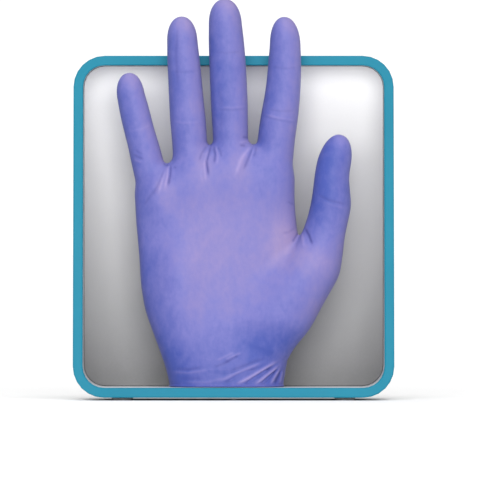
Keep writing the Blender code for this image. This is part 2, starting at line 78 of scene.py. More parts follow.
# ---------------------------------------------------------------- glove surface
# Each digit's centre line and half width: (x, z, half width) from inside the palm to where the dome
# of its tip starts, then the point of the tip.
DIGITS = {
    "index": (
        ((20.2, 108.0, 9.2), (21.6, 124.0, 9.6), (22.7, 138.8, 9.9), (24.4, 150.5, 9.9),
         (25.9, 161.0, 9.4), (26.8, 171.0, 9.0), (27.2, 180.0, 8.7), (27.4, 188.0, 8.1)),
        (27.2, 203.0),
    ),
    "middle": (
        ((-0.6, 108.0, 8.8), (-1.2, 124.0, 9.1), (-1.6, 138.8, 9.3), (-2.2, 155.2, 9.8),
         (-2.8, 169.5, 9.8), (-3.4, 182.0, 9.6), (-4.0, 192.0, 9.3), (-4.4, 199.0, 8.7)),
        (-5.0, 212.5),
    ),
    "ring": (
        ((-21.9, 108.0, 8.8), (-22.8, 124.0, 9.1), (-23.4, 138.8, 9.3), (-24.2, 148.1, 9.5),
         (-25.2, 161.0, 9.1), (-26.1, 174.0, 8.8), (-26.8, 183.0, 8.5), (-27.2, 190.0, 8.0)),
        (-27.9, 203.2),
    ),
    "little": (
        ((-40.6, 104.0, 8.2), (-43.4, 116.0, 8.5), (-46.2, 128.2, 8.4), (-48.0, 135.6, 8.1),
         (-50.0, 142.5, 7.9), (-52.2, 151.5, 7.9), (-53.6, 157.5, 7.6), (-54.6, 161.5, 7.3)),
        (-56.4, 173.2),
    ),
    "thumb": (
        ((17.2, 27.0, 9.8), (24.6, 41.0, 15.2), (33.4, 58.0, 16.2), (41.6, 71.0, 15.5),
         (46.3, 81.0, 12.3), (48.6, 90.0, 10.9), (50.7, 98.5, 10.7), (52.3, 107.0, 10.9),
         (52.2, 115.5, 9.9), (52.6, 123.0, 9.0)),
        (57.6, 140.3),
    ),
}
# A digit's depth as a share of its width.
FINGER_FLATNESS = 0.9
THUMB_FLATNESS = 0.93
DIGIT_POWER = 2.15  # how square a digit's dome is: 2 is round
INSIDE_FADE = 0.6  # how fast a digit's tube shrinks below its first row, inside the palm

# Palm outline by height: z, left x, right x, depth to the front, depth to the back.
PALM = (
    (2.0, -32.6, 26.2, 19.9, 19.9),
    (7.3, -33.7, 26.3, 19.5, 19.5),
    (17.9, -36.2, 27.9, 18.9, 18.9),
    (26.4, -39.0, 29.8, 18.2, 18.2),
    (34.9, -42.2, 31.0, 17.4, 17.4),
    (39.1, -43.9, 32.0, 17.0, 17.0),
    (47.6, -47.0, 33.5, 16.2, 16.2),
    (60.3, -49.1, 35.0, 15.2, 15.2),
    (77.3, -50.1, 35.0, 14.2, 14.3),
    (94.3, -51.7, 33.3, 13.4, 13.5),
    (111.2, -52.5, 31.5, 12.9, 12.7),
    (123.9, -53.8, 31.8, 12.0, 11.8),
    (133.0, -54.0, 31.6, 10.5, 10.5),
)
# Height of the palm's top edge by x: the webs between the fingers lie on it.
PALM_TOP = (
    (-56.0, 111.0), (-46.0, 119.5), (-34.2, 124.6), (-23.0, 130.5), (-12.3, 135.2),
    (-1.0, 136.2), (10.9, 135.6), (22.0, 130.5), (33.0, 120.5),
)
PALM_POWER = 2.5  # how square the palm's section is: 2 is an ellipse
PALM_EDGE = 7.0  # rounding of the palm's top edge
EDGE_DROOP = (11.0, 7.0)  # this far in front of the middle, the top edge is this much lower
# Pads of the palm: centre (x, y, z) and half sizes.
PADS = (
    ((-28.0, -7.5, 56.0), (13.0, 11.0, 31.0)),
    ((-38.0, -6.5, 108.0), (9.0, 7.0, 14.0)),
    ((-21.0, -7.0, 116.0), (11.0, 7.4, 15.0)),
    ((-1.0, -7.0, 118.0), (11.0, 7.4, 15.0)),
    ((19.0, -7.0, 115.0), (11.0, 7.4, 16.0)),
)
PAD_BLEND = 6.0  # rounding where a pad joins the palm
# Rounding where the thumb joins the palm, by height: its ball runs smoothly into the palm, and the
# web above it is tight.
THUMB_BLEND = ((20.0, 5.0), (42.0, 16.0), (62.0, 16.0), (83.82, 4.0))
FINGER_BLEND = 1.0  # rounding between two fingers
WEB_BLEND = 3.0  # rounding where the fingers join the palm


def smooth_min(a, b, k):
    """The lower of two distances, rounded over k where they meet."""
    h = np.clip(0.5 + 0.5 * (b - a) / k, 0.0, 1.0)
    return b + (a - b) * h - k * h * (1.0 - h)


def curve(at, table, column):
    """A column of a table as a smooth function of its first column."""
    knots = np.array([row[0] for row in table], float)
    values = np.array([row[column] for row in table], float)
    step, margin, blur, reach = 0.5, 20.0, 3.0, 12
    fine = np.arange(knots[0] - margin, knots[-1] + margin, step)
    sampled = np.interp(fine, knots, values)
    weights = np.exp(-0.5 * (np.arange(-reach, reach + 1) * step / blur) ** 2)
    padded = np.pad(sampled, reach, mode="edge")
    smoothed = np.convolve(padded, weights / weights.sum(), mode="valid")
    return np.interp(at, fine, smoothed)


def digit_distance(name, x, y, z):
    """Distance to a digit: a tube about its centre line, a little flatter than it is wide, that
    ends in a dome."""
    rows, tip = DIGITS[name]
    start = np.array(rows[0][:2])
    along = np.array(tip) - start
    along = along / np.linalg.norm(along)

    def turned(at_x, at_z):
        """How far a point lies along the digit, and how far to its right."""
        return (
            (at_x - start[0]) * along[0] + (at_z - start[1]) * along[1],
            (at_x - start[0]) * along[1] - (at_z - start[1]) * along[0],
        )

    table = [(*turned(row_x, row_z), half_width) for row_x, row_z, half_width in rows]
    dome_start = table[-1][0]
    table.append((*turned(*tip), table[-1][2]))
    dome = table[-1][0] - dome_start
    height, offset = turned(x, z)
    centre, radius = curve(height, table, 1), curve(height, table, 2)
    if name == "thumb":
        depth = (y - THUMB_Y) / THUMB_FLATNESS
    else:
        depth = (y - HAND_Y) / FINGER_FLATNESS
    below = np.minimum(height, 0.0)
    above = np.maximum(height - dome_start, 0.0) / dome * radius
    level = np.sqrt((offset - centre) ** 2 + depth**2)
    reach = (level**DIGIT_POWER + above**DIGIT_POWER) ** (1 / DIGIT_POWER)
    return reach - radius - INSIDE_FADE * below


def palm_distance(x, y, z):
    """Distance to the palm: a flattened tube that follows the outline, closed along its top edge."""
    left, right = curve(z, PALM, 1), curve(z, PALM, 2)
    front, back = curve(z, PALM, 3), curve(z, PALM, 4)
    middle = (left + right) / 2
    across = (x - middle) / ((right - left) / 2)
    deep = (y - HAND_Y) / np.where(y < HAND_Y, front, back)
    # The share of the way from the middle to the surface.
    share = (np.abs(across) ** PALM_POWER + np.abs(deep) ** PALM_POWER) ** (1 / PALM_POWER)
    share = np.maximum(share, 1e-3)
    side = np.sqrt((x - middle) ** 2 + (y - HAND_Y) ** 2) * (1 - 1 / share)
    # The top edge droops towards the front and back, so that it is round.
    droop = ((y - HAND_Y) / EDGE_DROOP[0]) ** 2 * EDGE_DROOP[1]
    top = z + droop - curve(x, PALM_TOP, 1)
    body = -smooth_min(-side, -top, PALM_EDGE)
    for (cx, cy, cz), (sx, sy, sz) in PADS:
        size = np.sqrt(((x - cx) / sx) ** 2 + ((y - cy) / sy) ** 2 + ((z - cz) / sz) ** 2)
        body = smooth_min(body, (size - 1) * min(sx, sy, sz), PAD_BLEND)
    return body


def glove_distance(x, y, z):
    """Distance to the whole glove's outer surface."""
    thumb_rounding = np.interp(z, *zip(*THUMB_BLEND))
    body = smooth_min(palm_distance(x, y, z), digit_distance("thumb", x, y, z), thumb_rounding)
    fingers = digit_distance("index", x, y, z)
    for name in ("middle", "ring", "little"):
        fingers = smooth_min(fingers, digit_distance(name, x, y, z), FINGER_BLEND)
    return smooth_min(body, fingers, WEB_BLEND)


# The corners of a cell, and the pairs of corners that an edge joins.
CORNERS = np.array([(i, j, k) for i in (0, 1) for j in (0, 1) for k in (0, 1)])
CELL_EDGES = [(a, b) for a in range(8) for b in range(a + 1, 8) if bin(a ^ b).count("1") == 1]


def surface_net(field, low, step):
    """Points and quads on the zero level of a sampled field: one point in each cell it crosses."""
    inside = field < 0
    shape = np.array(field.shape) - 1
    count = np.zeros(shape, np.int8)
    for i, j, k in CORNERS:
        count += inside[i : i + shape[0], j : j + shape[1], k : k + shape[2]]
    cells = np.argwhere((count > 0) & (count < 8))
    number = np.full(shape, -1, np.int64)
    number[tuple(cells.T)] = np.arange(len(cells))
    values = np.stack([field[tuple((cells + corner).T)] for corner in CORNERS], axis=1)
    total, crossings = np.zeros((len(cells), 3)), np.zeros(len(cells))
    for a, b in CELL_EDGES:
        crossed = (values[:, a] < 0) != (values[:, b] < 0)
        share = np.where(crossed, values[:, a] / np.where(crossed, values[:, a] - values[:, b], 1), 0)
        point = CORNERS[a] + share[:, None] * (CORNERS[b] - CORNERS[a])
        total += np.where(crossed[:, None], point, 0)
        crossings += crossed
    points = low + step * (cells + total / crossings[:, None])
    quads = []
    for axis in range(3):
        u, v = (axis + 1) % 3, (axis + 2) % 3
        near = [slice(1, -1)] * 3
        near[axis] = slice(0, -1)
        far = list(near)
        far[axis] = slice(1, None)
        changes = inside[tuple(near)] != inside[tuple(far)]
        edge = np.argwhere(changes)
        starts_inside = inside[tuple(near)][tuple(edge.T)]
        edge[:, u] += 1
        edge[:, v] += 1
        ring = []
        for du, dv in ((-1, -1), (0, -1), (0, 0), (-1, 0)):
            cell = edge.copy()
            cell[:, u] += du
            cell[:, v] += dv
            ring.append(number[tuple(cell.T)])
        ring = np.stack(ring, axis=1)
        ring[~starts_inside] = ring[~starts_inside][:, ::-1]
        quads.append(ring)
    return points, np.concatenate(quads)


def gradient(points):
    """The slope of the glove's distance at each point."""
    slope = np.zeros_like(points)
    reach = 0.25
    for axis in range(3):
        step = np.zeros(3)
        step[axis] = reach
        ahead, behind = glove_distance(*(points + step).T), glove_distance(*(points - step).T)
        slope[:, axis] = (ahead - behind) / (2 * reach)
    return slope


def settle(points):
    """Move points onto the glove's surface."""
    for _ in range(3):
        slope = gradient(points)
        size = np.maximum((slope**2).sum(1), 0.05)
        step = np.clip(glove_distance(*points.T) / size, -1.5, 1.5)
        points = points - slope * step[:, None]
    return points


def quad_sides(quads):
    """Each side of each quad, as a pair of points."""
    return np.concatenate([quads[:, [k, (k + 1) % 4]] for k in range(4)])


def relax(points, quads, rounds):
    """Even out the net's spacing: each point moves towards the middle of its neighbours."""
    pairs = quad_sides(quads)
    for _ in range(rounds):
        total, count = np.zeros_like(points), np.zeros(len(points))
        for a, b in ((0, 1), (1, 0)):
            for axis in range(3):
                total[:, axis] += np.bincount(pairs[:, a], points[pairs[:, b], axis], len(points))
            count += np.bincount(pairs[:, a], minlength=len(points))
        points = points + 0.5 * (total / count[:, None] - points)
    return points


def point_normals(points, quads):
    """Area-weighted normals of a net of quads."""
    across = points[quads[:, 2]] - points[quads[:, 0]]
    other = points[quads[:, 3]] - points[quads[:, 1]]
    faces = np.cross(across, other)
    normals = np.zeros_like(points)
    for k in range(4):
        for axis in range(3):
            normals[:, axis] += np.bincount(quads[:, k], faces[:, axis], len(points))
    return normals / np.maximum(np.linalg.norm(normals, axis=1), 1e-9)[:, None]


def used_points(quads, count):
    """The points that some quads use, and the quads numbered by them."""
    used = np.unique(quads)
    renumber = np.full(count, -1)
    renumber[used] = np.arange(len(used))
    return used, renumber[quads]


def free_edge_points(quads, count):
    """The points of the sides that only one quad has."""
    pairs = np.sort(quad_sides(quads), axis=1)
    key = pairs[:, 0] * count + pairs[:, 1]
    _, first, times = np.unique(key, return_index=True, return_counts=True)
    return np.unique(pairs[first[times == 1]])


def make_glove_net():
    """The glove's outer surface as one net, open at the cuff."""
    low = np.array([-67.0, HAND_Y - 25.0, CUFF_BOTTOM - 4.0])
    high = np.array([66.0, HAND_Y + 23.0, 215.0])
    axes = [np.arange(low[i], high[i] + CELL, CELL) for i in range(3)]
    x, y, z = np.meshgrid(*axes, indexing="ij")
    field = glove_distance(x.ravel(), y.ravel(), z.ravel()).reshape(x.shape)
    points, quads = surface_net(field, low, CELL)
    points = settle(relax(points, quads, 2))
    # Cut the net off at the cuff, and draw its free edge down to one level.
    above_cuff = (points[quads][:, :, 2] > CUFF_EDGE).all(axis=1)
    used, quads = used_points(quads[above_cuff], len(points))
    points = points[used]
    points[free_edge_points(quads, len(points)), 2] = CUFF_EDGE
    return points, quads


# ---------------------------------------------------------------- parting at the joints

# The thumb's film is parted on a slanted line that passes through the bottom of its web.
THUMB_ROOT_LEAN = math.radians(30.7)
WEB_X = 35.4  # the thumb's own film lies to the right of this

# How far each digit's bend zones reach before and after its middle hinge and tip hinge, and how far
# before the middle hinge the digit's own piece of film starts.
BEND_ZONES = {
    "index": ((9.5, 9.5), (7.5, 7.5), 12.0),
    "middle": ((9.5, 9.5), (7.5, 7.5), 14.0),
    "ring": ((9.0, 9.0), (7.5, 7.5), 10.0),
    "little": ((6.8, 6.8), (5.4, 5.4), 8.5),
    "thumb": ((-1.0, 7.0), (7.5, 7.5), -1.0),
}


def hinge_line(hinge_name):
    """A hinge's place, and the direction in which its digit's film runs through it."""
    place = Vector(joints[hinge_name]["pos_m"])
    axis = Vector(joints[hinge_name]["axis"])
    if hinge_name == "thumb_middle_hinge":
        return place, Vector((math.sin(THUMB_ROOT_LEAN), 0, math.cos(THUMB_ROOT_LEAN)))
    return place, Vector((-axis.z, 0, axis.x)).normalized()


def part_net(centres):
    """Which piece of film each quad belongs to, as a mask for each piece's name."""
    distances = np.stack([digit_distance(name, *centres.T) for name in DIGITS])
    nearest = distances.argmin(axis=0)
    masks = {"palm": np.ones(len(centres), bool)}
    for number, name in enumerate(DIGITS):
        middle_zone, tip_zone, root = BEND_ZONES[name]
        middle, middle_way = (np.array(item) for item in hinge_line(f"{name}_middle_hinge"))
        tip, tip_way = (np.array(item) for item in hinge_line(f"{name}_tip_hinge"))
        member = (nearest == number) & ((centres - middle / MM) @ middle_way > -root)
        if name == "thumb":
            member &= centres[:, 0] > WEB_X
        # The digit's two pieces meet halfway between the ends of their bend zones.
        span = np.linalg.norm(tip - middle) / MM
        share = (middle_zone[1] + span - tip_zone[0]) / 2 / span
        seam = (middle + (tip - middle) * share) / MM
        upper = (centres - seam) @ tip_way > 0
        masks[f"{name}_lower"] = member & ~upper
        masks[f"{name}_upper"] = member & upper
        masks["palm"] &= ~member
    return masks


def blend_across(piece):
    """Bake a piece of film's place into its mesh."""
    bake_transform(piece)


def make_glove(material):
    """The glove's skin, parted into pieces; the palm's piece goes on the hand's body."""
    points, quads = make_glove_net()
    points, shades = add_creases(points, point_normals(points, quads))
    normals = point_normals(points, quads)
    for part, mask in part_net(points[quads].mean(axis=1)).items():
        used, faces = used_points(quads[mask], len(points))
        mesh = bpy.data.meshes.new(f"film_{part}")
        mesh.from_pydata((points[used] * MM).tolist(), [], faces.tolist())
        mesh.shade_smooth()
        for label, values in shades.items():
            attribute = mesh.attributes.new(label, "FLOAT", "POINT")
            attribute.data.foreach_set("value", values[used].astype(np.float32))
        mesh.normals_split_custom_set_from_vertices(normals[used].tolist())
        mesh.materials.append(material)
        piece = bpy.data.objects.new(f"film_{part}", mesh)
        bpy.context.scene.collection.objects.link(piece)
        digit, _, half = part.partition("_")
        if part == "palm":
            add_cuff_bead(piece)
            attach(piece, "hand")
            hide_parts("glove_palm")
        elif half == "lower":
            blend_across(piece)
            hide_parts(f"glove_{digit}_middle")
        else:
            blend_across(
                piece
            )
            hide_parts(f"glove_{digit}_tip")


# ---------------------------------------------------------------- cuff and folds

# The rolled bead at the cuff's edge and the film's inner face above it: (outwards, upwards) from
# the net's free edge.
CUFF_BEAD = (
    (0.28, -0.12), (0.42, -0.38), (0.36, -0.66), (0.08, -0.84), (-0.22, -0.76), (-0.38, -0.45),
    (-0.36, 0.0), (-0.34, 1.5), (-0.34, 4.0), (-0.34, 8.0),
)


def add_cuff_bead(piece):
    """Roll the free edge of the palm's film into a bead, with the film's inner face above it."""
    net = bmesh.new()
    net.from_mesh(piece.data)
    level = (CUFF_EDGE + 0.01) * MM
    edges = [e for e in net.edges if e.is_boundary and all(v.co.z < level for v in e.verts)]
    for out, up in np.diff(np.array(((0.0, 0.0), *CUFF_BEAD)), axis=0):
        grown = bmesh.ops.extrude_edge_only(net, edges=edges)["geom"]
        for point in grown:
            if isinstance(point, bmesh.types.BMVert):
                away = Vector((point.co.x, point.co.y - HAND_Y * MM, 0.0)).normalized()
                point.co += (away * out + Vector((0, 0, up))) * MM
        edges = [edge for edge in grown if isinstance(edge, bmesh.types.BMEdge) and edge.is_boundary]
    bmesh.ops.recalc_face_normals(net, faces=net.faces)
    net.to_mesh(piece.data)
    net.free()
    piece.data.shade_smooth()


# Folds in the film on the palm side, as (points (x, z) along the fold, height, half width): a ridge
# stands up by its height, and a groove has a negative one.
FOLDS = (
    # Between the little and ring fingers, running down the palm.
    (((-34.4, 125.0), (-35.0, 118.5), (-36.6, 111.5)), 0.34, 0.75),
    (((-33.4, 125.2), (-33.7, 119.5), (-34.8, 112.8)), -0.42, 0.60),
    (((-35.6, 122.5), (-37.8, 116.0), (-40.4, 108.0)), 0.16, 0.70),
    (((-36.4, 123.0), (-39.6, 115.0), (-43.5, 107.0)), -0.14, 0.65),
    (((-41.0, 113.0), (-44.5, 107.6), (-47.8, 102.4)), -0.13, 0.65),
    (((-37.6, 118.8), (-38.8, 113.4), (-39.8, 109.6)), 0.14, 0.60),
    (((-37.2, 125.4), (-35.6, 124.2), (-34.2, 124.6)), -0.27, 0.60),
    (((-32.0, 123.4), (-30.4, 122.8)), -0.18, 0.60),
    # Between the ring and middle fingers.
    (((-12.8, 134.6), (-15.4, 125.0), (-14.6, 114.5)), 0.27, 0.75),
    (((-11.9, 135.6), (-14.3, 126.4), (-13.2, 118.0)), -0.46, 0.60),
    (((-9.6, 135.0), (-8.4, 129.6), (-8.8, 124.0)), 0.21, 0.65),
    (((-10.8, 135.0), (-9.8, 130.0), (-10.4, 125.2)), -0.34, 0.58),
    (((-8.6, 134.4), (-7.0, 131.4), (-6.4, 128.4)), -0.21, 0.58),
    (((-13.8, 135.2), (-17.0, 130.6), (-18.4, 126.2)), -0.19, 0.60),
    (((-16.8, 124.0), (-17.4, 119.0), (-16.4, 114.8)), 0.11, 0.65),
    # Between the middle and index fingers.
    (((9.6, 135.4), (4.2, 127.6), (0.8, 118.4)), 0.34, 1.05),
    (((10.5, 134.6), (8.2, 128.8), (5.2, 121.5)), -0.29, 0.65),
    (((2.6, 136.4), (6.6, 136.9), (10.2, 135.8)), 0.21, 0.60),
    (((3.4, 135.0), (6.4, 134.6)), -0.24, 0.60),
    (((11.0, 134.0), (9.8, 130.0), (8.4, 126.4)), 0.18, 0.58),
    (((12.0, 134.4), (11.6, 131.4), (10.6, 128.6)), -0.21, 0.58),
    (((4.6, 139.4), (8.0, 138.6)), -0.21, 0.60),
    # Across the first joint of each finger.
    (((-8.4, 155.0), (-1.0, 154.7), (6.8, 155.7)), 0.12, 0.52),
    (((-8.4, 153.7), (-1.0, 153.3), (6.8, 154.3)), -0.09, 0.56),
    (((15.6, 151.6), (23.3, 149.4), (33.4, 148.0)), 0.14, 0.52),
    (((15.6, 150.4), (23.3, 148.1), (33.4, 146.7)), -0.09, 0.56),
    (((17.5, 154.0), (25.0, 152.8), (33.0, 153.2)), -0.09, 0.60),
    (((-31.5, 147.4), (-24.2, 146.6), (-16.4, 147.8)), 0.09, 0.64),
    (((-55.0, 142.2), (-49.5, 143.2), (-43.2, 146.0)), 0.08, 0.60),
    # Across the last joint of each finger.
    (((19.5, 176.4), (27.0, 175.4), (34.5, 176.2)), -0.08, 0.64),
    (((-11.5, 184.4), (-3.5, 183.6), (4.5, 184.6)), -0.08, 0.64),
    (((-33.5, 174.0), (-26.0, 173.4), (-18.5, 174.4)), -0.08, 0.64),
    # The little finger's root, on its outer side.
    (((-53.2, 130.0), (-50.6, 128.6), (-47.6, 127.4)), -0.22, 0.56),
    (((-52.8, 127.6), (-50.4, 126.4), (-48.6, 125.8)), 0.16, 0.56),
    (((-52.2, 132.4), (-50.2, 131.0), (-48.2, 130.2)), -0.14, 0.56),
    # The thumb's joint and its web.
    (((43.6, 108.9), (50.7, 105.7), (60.4, 103.3)), -0.16, 0.68),
    (((46.5, 105.6), (52.0, 103.2), (60.0, 101.2)), 0.06, 0.64),
    (((37.4, 91.6), (39.7, 87.2), (41.8, 82.0)), -0.43, 0.72),
    (((34.9, 89.2), (33.0, 86.2), (31.0, 83.2)), -0.31, 0.60),
    (((36.0, 88.6), (36.8, 84.8), (37.4, 80.6)), 0.23, 0.72),
    (((32.6, 91.2), (29.2, 88.8), (25.6, 88.2)), -0.12, 0.68),
    (((28.4, 105.2), (32.2, 103.2)), -0.14, 0.56),
    # The wrist: folds that run down and to the left from below the ball of the thumb.
    (((23.6, 21.0), (20.6, 18.9), (8.7, 12.0), (-2.4, 6.0)), 0.62, 0.85),
    (((22.6, 19.2), (19.3, 17.1), (10.7, 11.3), (2.6, 5.6)), -0.66, 0.70),
    (((24.2, 18.4), (21.3, 15.8), (14.2, 10.4), (8.6, 5.6)), 0.60, 0.75),
    (((24.2, 17.0), (20.8, 14.1), (16.4, 9.8), (12.0, 5.4)), -0.68, 0.70),
    (((25.0, 17.8), (22.1, 12.8), (18.0, 5.4)), 0.42, 0.65),
    (((25.6, 16.4), (23.4, 11.6), (20.8, 5.4)), -0.42, 0.60),
    (((26.0, 16.0), (25.0, 11.0), (23.6, 5.4)), 0.30, 0.60),
    (((16.0, 20.4), (2.7, 14.6), (-9.0, 9.2)), 0.26, 0.95),
    (((15.0, 18.2), (2.2, 12.9), (-8.0, 6.6)), -0.26, 0.75),
    (((18.0, 22.6), (6.0, 18.2), (-3.0, 14.6)), -0.18, 0.80),
    (((4.4, 25.4), (-4.8, 20.9)), 0.22, 0.60),
    (((0.6, 25.4), (-9.4, 20.8)), 0.18, 0.60),
    (((3.0, 23.6), (-5.6, 19.4)), -0.28, 0.55),
    (((-1.0, 21.0), (-11.0, 16.8)), -0.18, 0.65),
    (((-32.0, 16.6), (-24.0, 16.0), (-16.0, 17.4)), -0.16, 0.75),
    (((-33.0, 15.0), (-24.0, 14.4), (-12.0, 16.2)), 0.14, 0.75),
    (((-27.0, 9.4), (-14.0, 9.2), (-4.0, 12.2)), 0.14, 0.80),
    (((-29.0, 11.2), (-16.0, 11.4)), -0.12, 0.80),
)
# Long shallow folds down a finger's side: the same form.
LONG_FOLDS = (
    (((-29.4, 199.0), (-30.6, 184.0), (-29.6, 165.0)), -0.14, 0.80),
    (((-7.4, 168.0), (-6.4, 152.0), (-6.8, 141.0)), -0.08, 1.20),
)
FOLD_FADE = 0.22  # the share of a fold's length over which it dies away at either end
# Folds across the back of a joint: (distance past the hinge, height, half length).
KNUCKLE_FOLDS = ((-2.6, -0.16, 4.6), (-0.2, -0.24, 5.6), (2.3, -0.14, 4.2))
KNUCKLE_FADE = 0.4
KNUCKLE_HALF_WIDTH = 0.8
KNUCKLE_ARCH = 0.5
# Above the cuff, folds start after the first distance and reach their full height after the second.
CUFF_CALM = (0.3, 2.0)

# Shades of the film, from 0 where it lies slack and looks bluer to 1 where it is stretched and pales.
# The tone also carries painted light and shade: it is paler on right sides and darker on left sides.
TONE_BASE = 0.34
PAINTED_SIDE_LIGHT = 0.38  # how much the tone rises from a digit's left side to its right side
TONE_TIP = 0.30  # how much it rises at a fingertip
TIP_REACH = 8.5
FULL_SHADE = 0.5  # a fold this high or deep has its full shade
# Patches of the palm side: (x, z, half width, half height, amount).
TONE_PATCHES = (
    (26.5, 90.0, 8.5, 13.0, 0.29),
    (31.0, 77.0, 13.0, 11.0, 0.38),
    (43.0, 74.0, 8.0, 8.0, 0.16),
    (-14.0, 84.0, 34.0, 42.0, 0.22),
    (-8.0, 74.0, 17.0, 40.0, 0.08),
    # The next two darken the film below the ball of the thumb: partly a bluer tint, partly painted shade under the
    # ball.
    (15.0, 28.0, 22.0, 10.0, -0.36),
    (30.0, 37.0, 10.0, 11.0, -0.16),
    (-8.0, 7.0, 40.0, 14.0, -0.18),
    (-30.0, 20.0, 13.0, 16.0, -0.12),
    (16.0, 12.0, 16.0, 9.0, -0.16),
    (24.0, 10.0, 8.0, 9.0, -0.22),
    (54.0, 110.0, 14.0, 17.0, -0.28),
    (56.0, 134.0, 11.0, 11.0, -0.26),
    (24.0, 120.0, 9.0, 15.0, -0.08),
    (-2.0, 168.0, 9.5, 24.0, -0.09),
    (-37.0, 113.0, 6.0, 10.0, 0.18),
    (-16.0, 124.0, 5.5, 9.0, 0.16),
    (3.0, 125.0, 5.5, 9.0, 0.18),
    # Painted shade down the palm's left edge.
    (-46.0, 60.0, 9.0, 50.0, -0.05),
    (20.0, 54.0, 12.0, 13.0, 0.13),
)


def fold_relief(x, z, folds, fade_share):
    """The height of a set of folds at each point, fading out towards both ends of each fold."""
    height = np.zeros_like(x)
    for path, rise, half_width in folds:
        path = np.array(path, float)
        lengths = np.linalg.norm(np.diff(path, axis=0), axis=1)
        nearest, place = np.full(len(x), np.inf), np.zeros(len(x))
        before = 0.0
        for start, end, length in zip(path[:-1], path[1:], lengths):
            step = (end - start) / length
            along = np.clip((x - start[0]) * step[0] + (z - start[1]) * step[1], 0, length)
            away = np.hypot(x - start[0] - along * step[0], z - start[1] - along * step[1])
            closer = away < nearest
            nearest[closer] = away[closer]
            place[closer] = (before + along[closer]) / lengths.sum()
            before += length
        fade = np.clip(np.minimum(place, 1 - place) / fade_share, 0, 1)
        fade = fade * fade * (3 - 2 * fade)
        height += rise * np.exp(-((nearest / half_width) ** 2)) * (0.12 + 0.88 * fade)
    return height


def knuckle_folds():
    """Short folds across the back of each digit's two joints."""
    folds = []
    for name in DIGITS:
        for hinge in ("middle", "tip"):
            joint = joints[f"{name}_{hinge}_hinge"]
            centre = np.array(joint["pos_m"])[[0, 2]] / MM
            across = np.array(joint["axis"])[[0, 2]]
            along = np.array((-across[1], across[0]))
            for shift, rise, reach in KNUCKLE_FOLDS:
                middle = centre + along * shift
                side = across * reach
                path = (middle - side, middle + along * KNUCKLE_ARCH, middle + side)
                folds.append((path, rise, KNUCKLE_HALF_WIDTH))
    return folds


def add_creases(points, normals):
    """Wrinkle the film; return its points, and the tones, painted highlights and painted shade the material reads.
    """
    x, _, z = points.T
    front = np.clip(0.25 - normals[:, 1] * 1.5, 0, 1)
    back = np.clip(0.1 + normals[:, 1] * 1.5, 0, 1)
    relief = fold_relief(x, z, FOLDS + LONG_FOLDS, FOLD_FADE) * front
    relief += fold_relief(x, z, knuckle_folds(), KNUCKLE_FADE) * back
    # The cuff's edge stays level for its bead.
    relief *= np.clip((z - CUFF_EDGE - CUFF_CALM[0]) / CUFF_CALM[1], 0, 1)
    tone = np.full(len(points), TONE_BASE)
    for at_x, at_z, half_x, half_z, amount in TONE_PATCHES:
        reach = ((x - at_x) / half_x) ** 2 + ((z - at_z) / half_z) ** 2
        tone += amount * np.exp(-reach) * (0.3 + 0.7 * front)
    # Painted light and shade: right sides pale and left sides darken, as if lit from the right.
    tone += PAINTED_SIDE_LIGHT * normals[:, 0] * (1 - 0.5 * np.abs(normals[:, 0]))
    for _, tip in DIGITS.values():
        reach = ((x - tip[0]) ** 2 + (z - tip[1]) ** 2) / TIP_REACH**2
        tone += TONE_TIP * np.exp(-reach)
    # Painted shade: the steep left sides of the hand and of its digits take the grooves' dark colour.
    left_side_shade = 0.5 * np.clip(-normals[:, 0] - 0.6, 0, 1)
    # Of these, the ridge shade is a painted highlight, and the groove shade is painted shade in grooves and on
    # left sides.
    shades = {
        "film_tone": np.clip(tone, 0, 1),
        "film_ridge_highlight": np.clip(relief / FULL_SHADE, 0, 1),
        "film_groove_shade": np.clip(-relief / FULL_SHADE + left_side_shade, 0, 1),
    }
    return points + normals * relief[:, None], shades


# ---------------------------------------------------------------- materials


class Graph:
    """A short way to write a Principled material's nodes."""

    def __init__(self, name):
        self.material = bpy.data.materials.new(name)
        self.material.use_nodes = True
        self.tree = self.material.node_tree
        self.shader = self.tree.nodes["Principled BSDF"]

    def add(self, kind, links=None, **settings):
        """A new node: its inputs by name or number, and its own settings."""
        node = self.tree.nodes.new(kind)
        for key, value in settings.items():
            setattr(node, key, value)
        for key, value in (links or {}).items():
            self.set(node.inputs[key], value)
        return node

    def set(self, socket, value):
        """Link an input to another node's output, or give it a plain value."""
        if isinstance(value, bpy.types.NodeSocket):
            self.tree.links.new(value, socket)
        else:
            socket.default_value = value

    def out(self, **values):
        """Set the shader's inputs: an underscore stands for a space."""
        for key, value in values.items():
            self.set(self.shader.inputs[key.replace("_", " ")], value)

    def position(self):
        return self.add("ShaderNodeTexCoord").outputs["Object"]

    def noise(self, scale, detail=3.0, roughness=0.5, stretch=(1, 1, 1)):
        """Noise with this many waves to the metre, drawn out where a stretch is below 1."""
        place = self.add("ShaderNodeMapping", {"Vector": self.position(), "Scale": stretch})
        links = {"Vector": place.outputs[0], "Scale": scale, "Detail": detail, "Roughness": roughness}
        return self.add("ShaderNodeTexNoise", links).outputs["Fac"]

    def math(self, operation, a, b=0.0, c=0.0):
        return self.add("ShaderNodeMath", {0: a, 1: b, 2: c}, operation=operation).outputs[0]

    def spread(self, value, low, high, new_low, new_high):
        """A value that runs from low to high, made to run from new_low to new_high."""
        links = {"Value": value, "From Min": low, "From Max": high, "To Min": new_low, "To Max": new_high}
        return self.add("ShaderNodeMapRange", links).outputs[0]

    def mix(self, share, a, b):
        node = self.add("ShaderNodeMix", data_type="RGBA")
        for key, value in ((0, share), (6, a), (7, b)):
            self.set(node.inputs[key], value)
        return node.outputs[2]

    def bump(self, height, strength, distance):
        links = {"Height": height, "Strength": strength, "Distance": distance}
        return self.add("ShaderNodeBump", links).outputs[0]


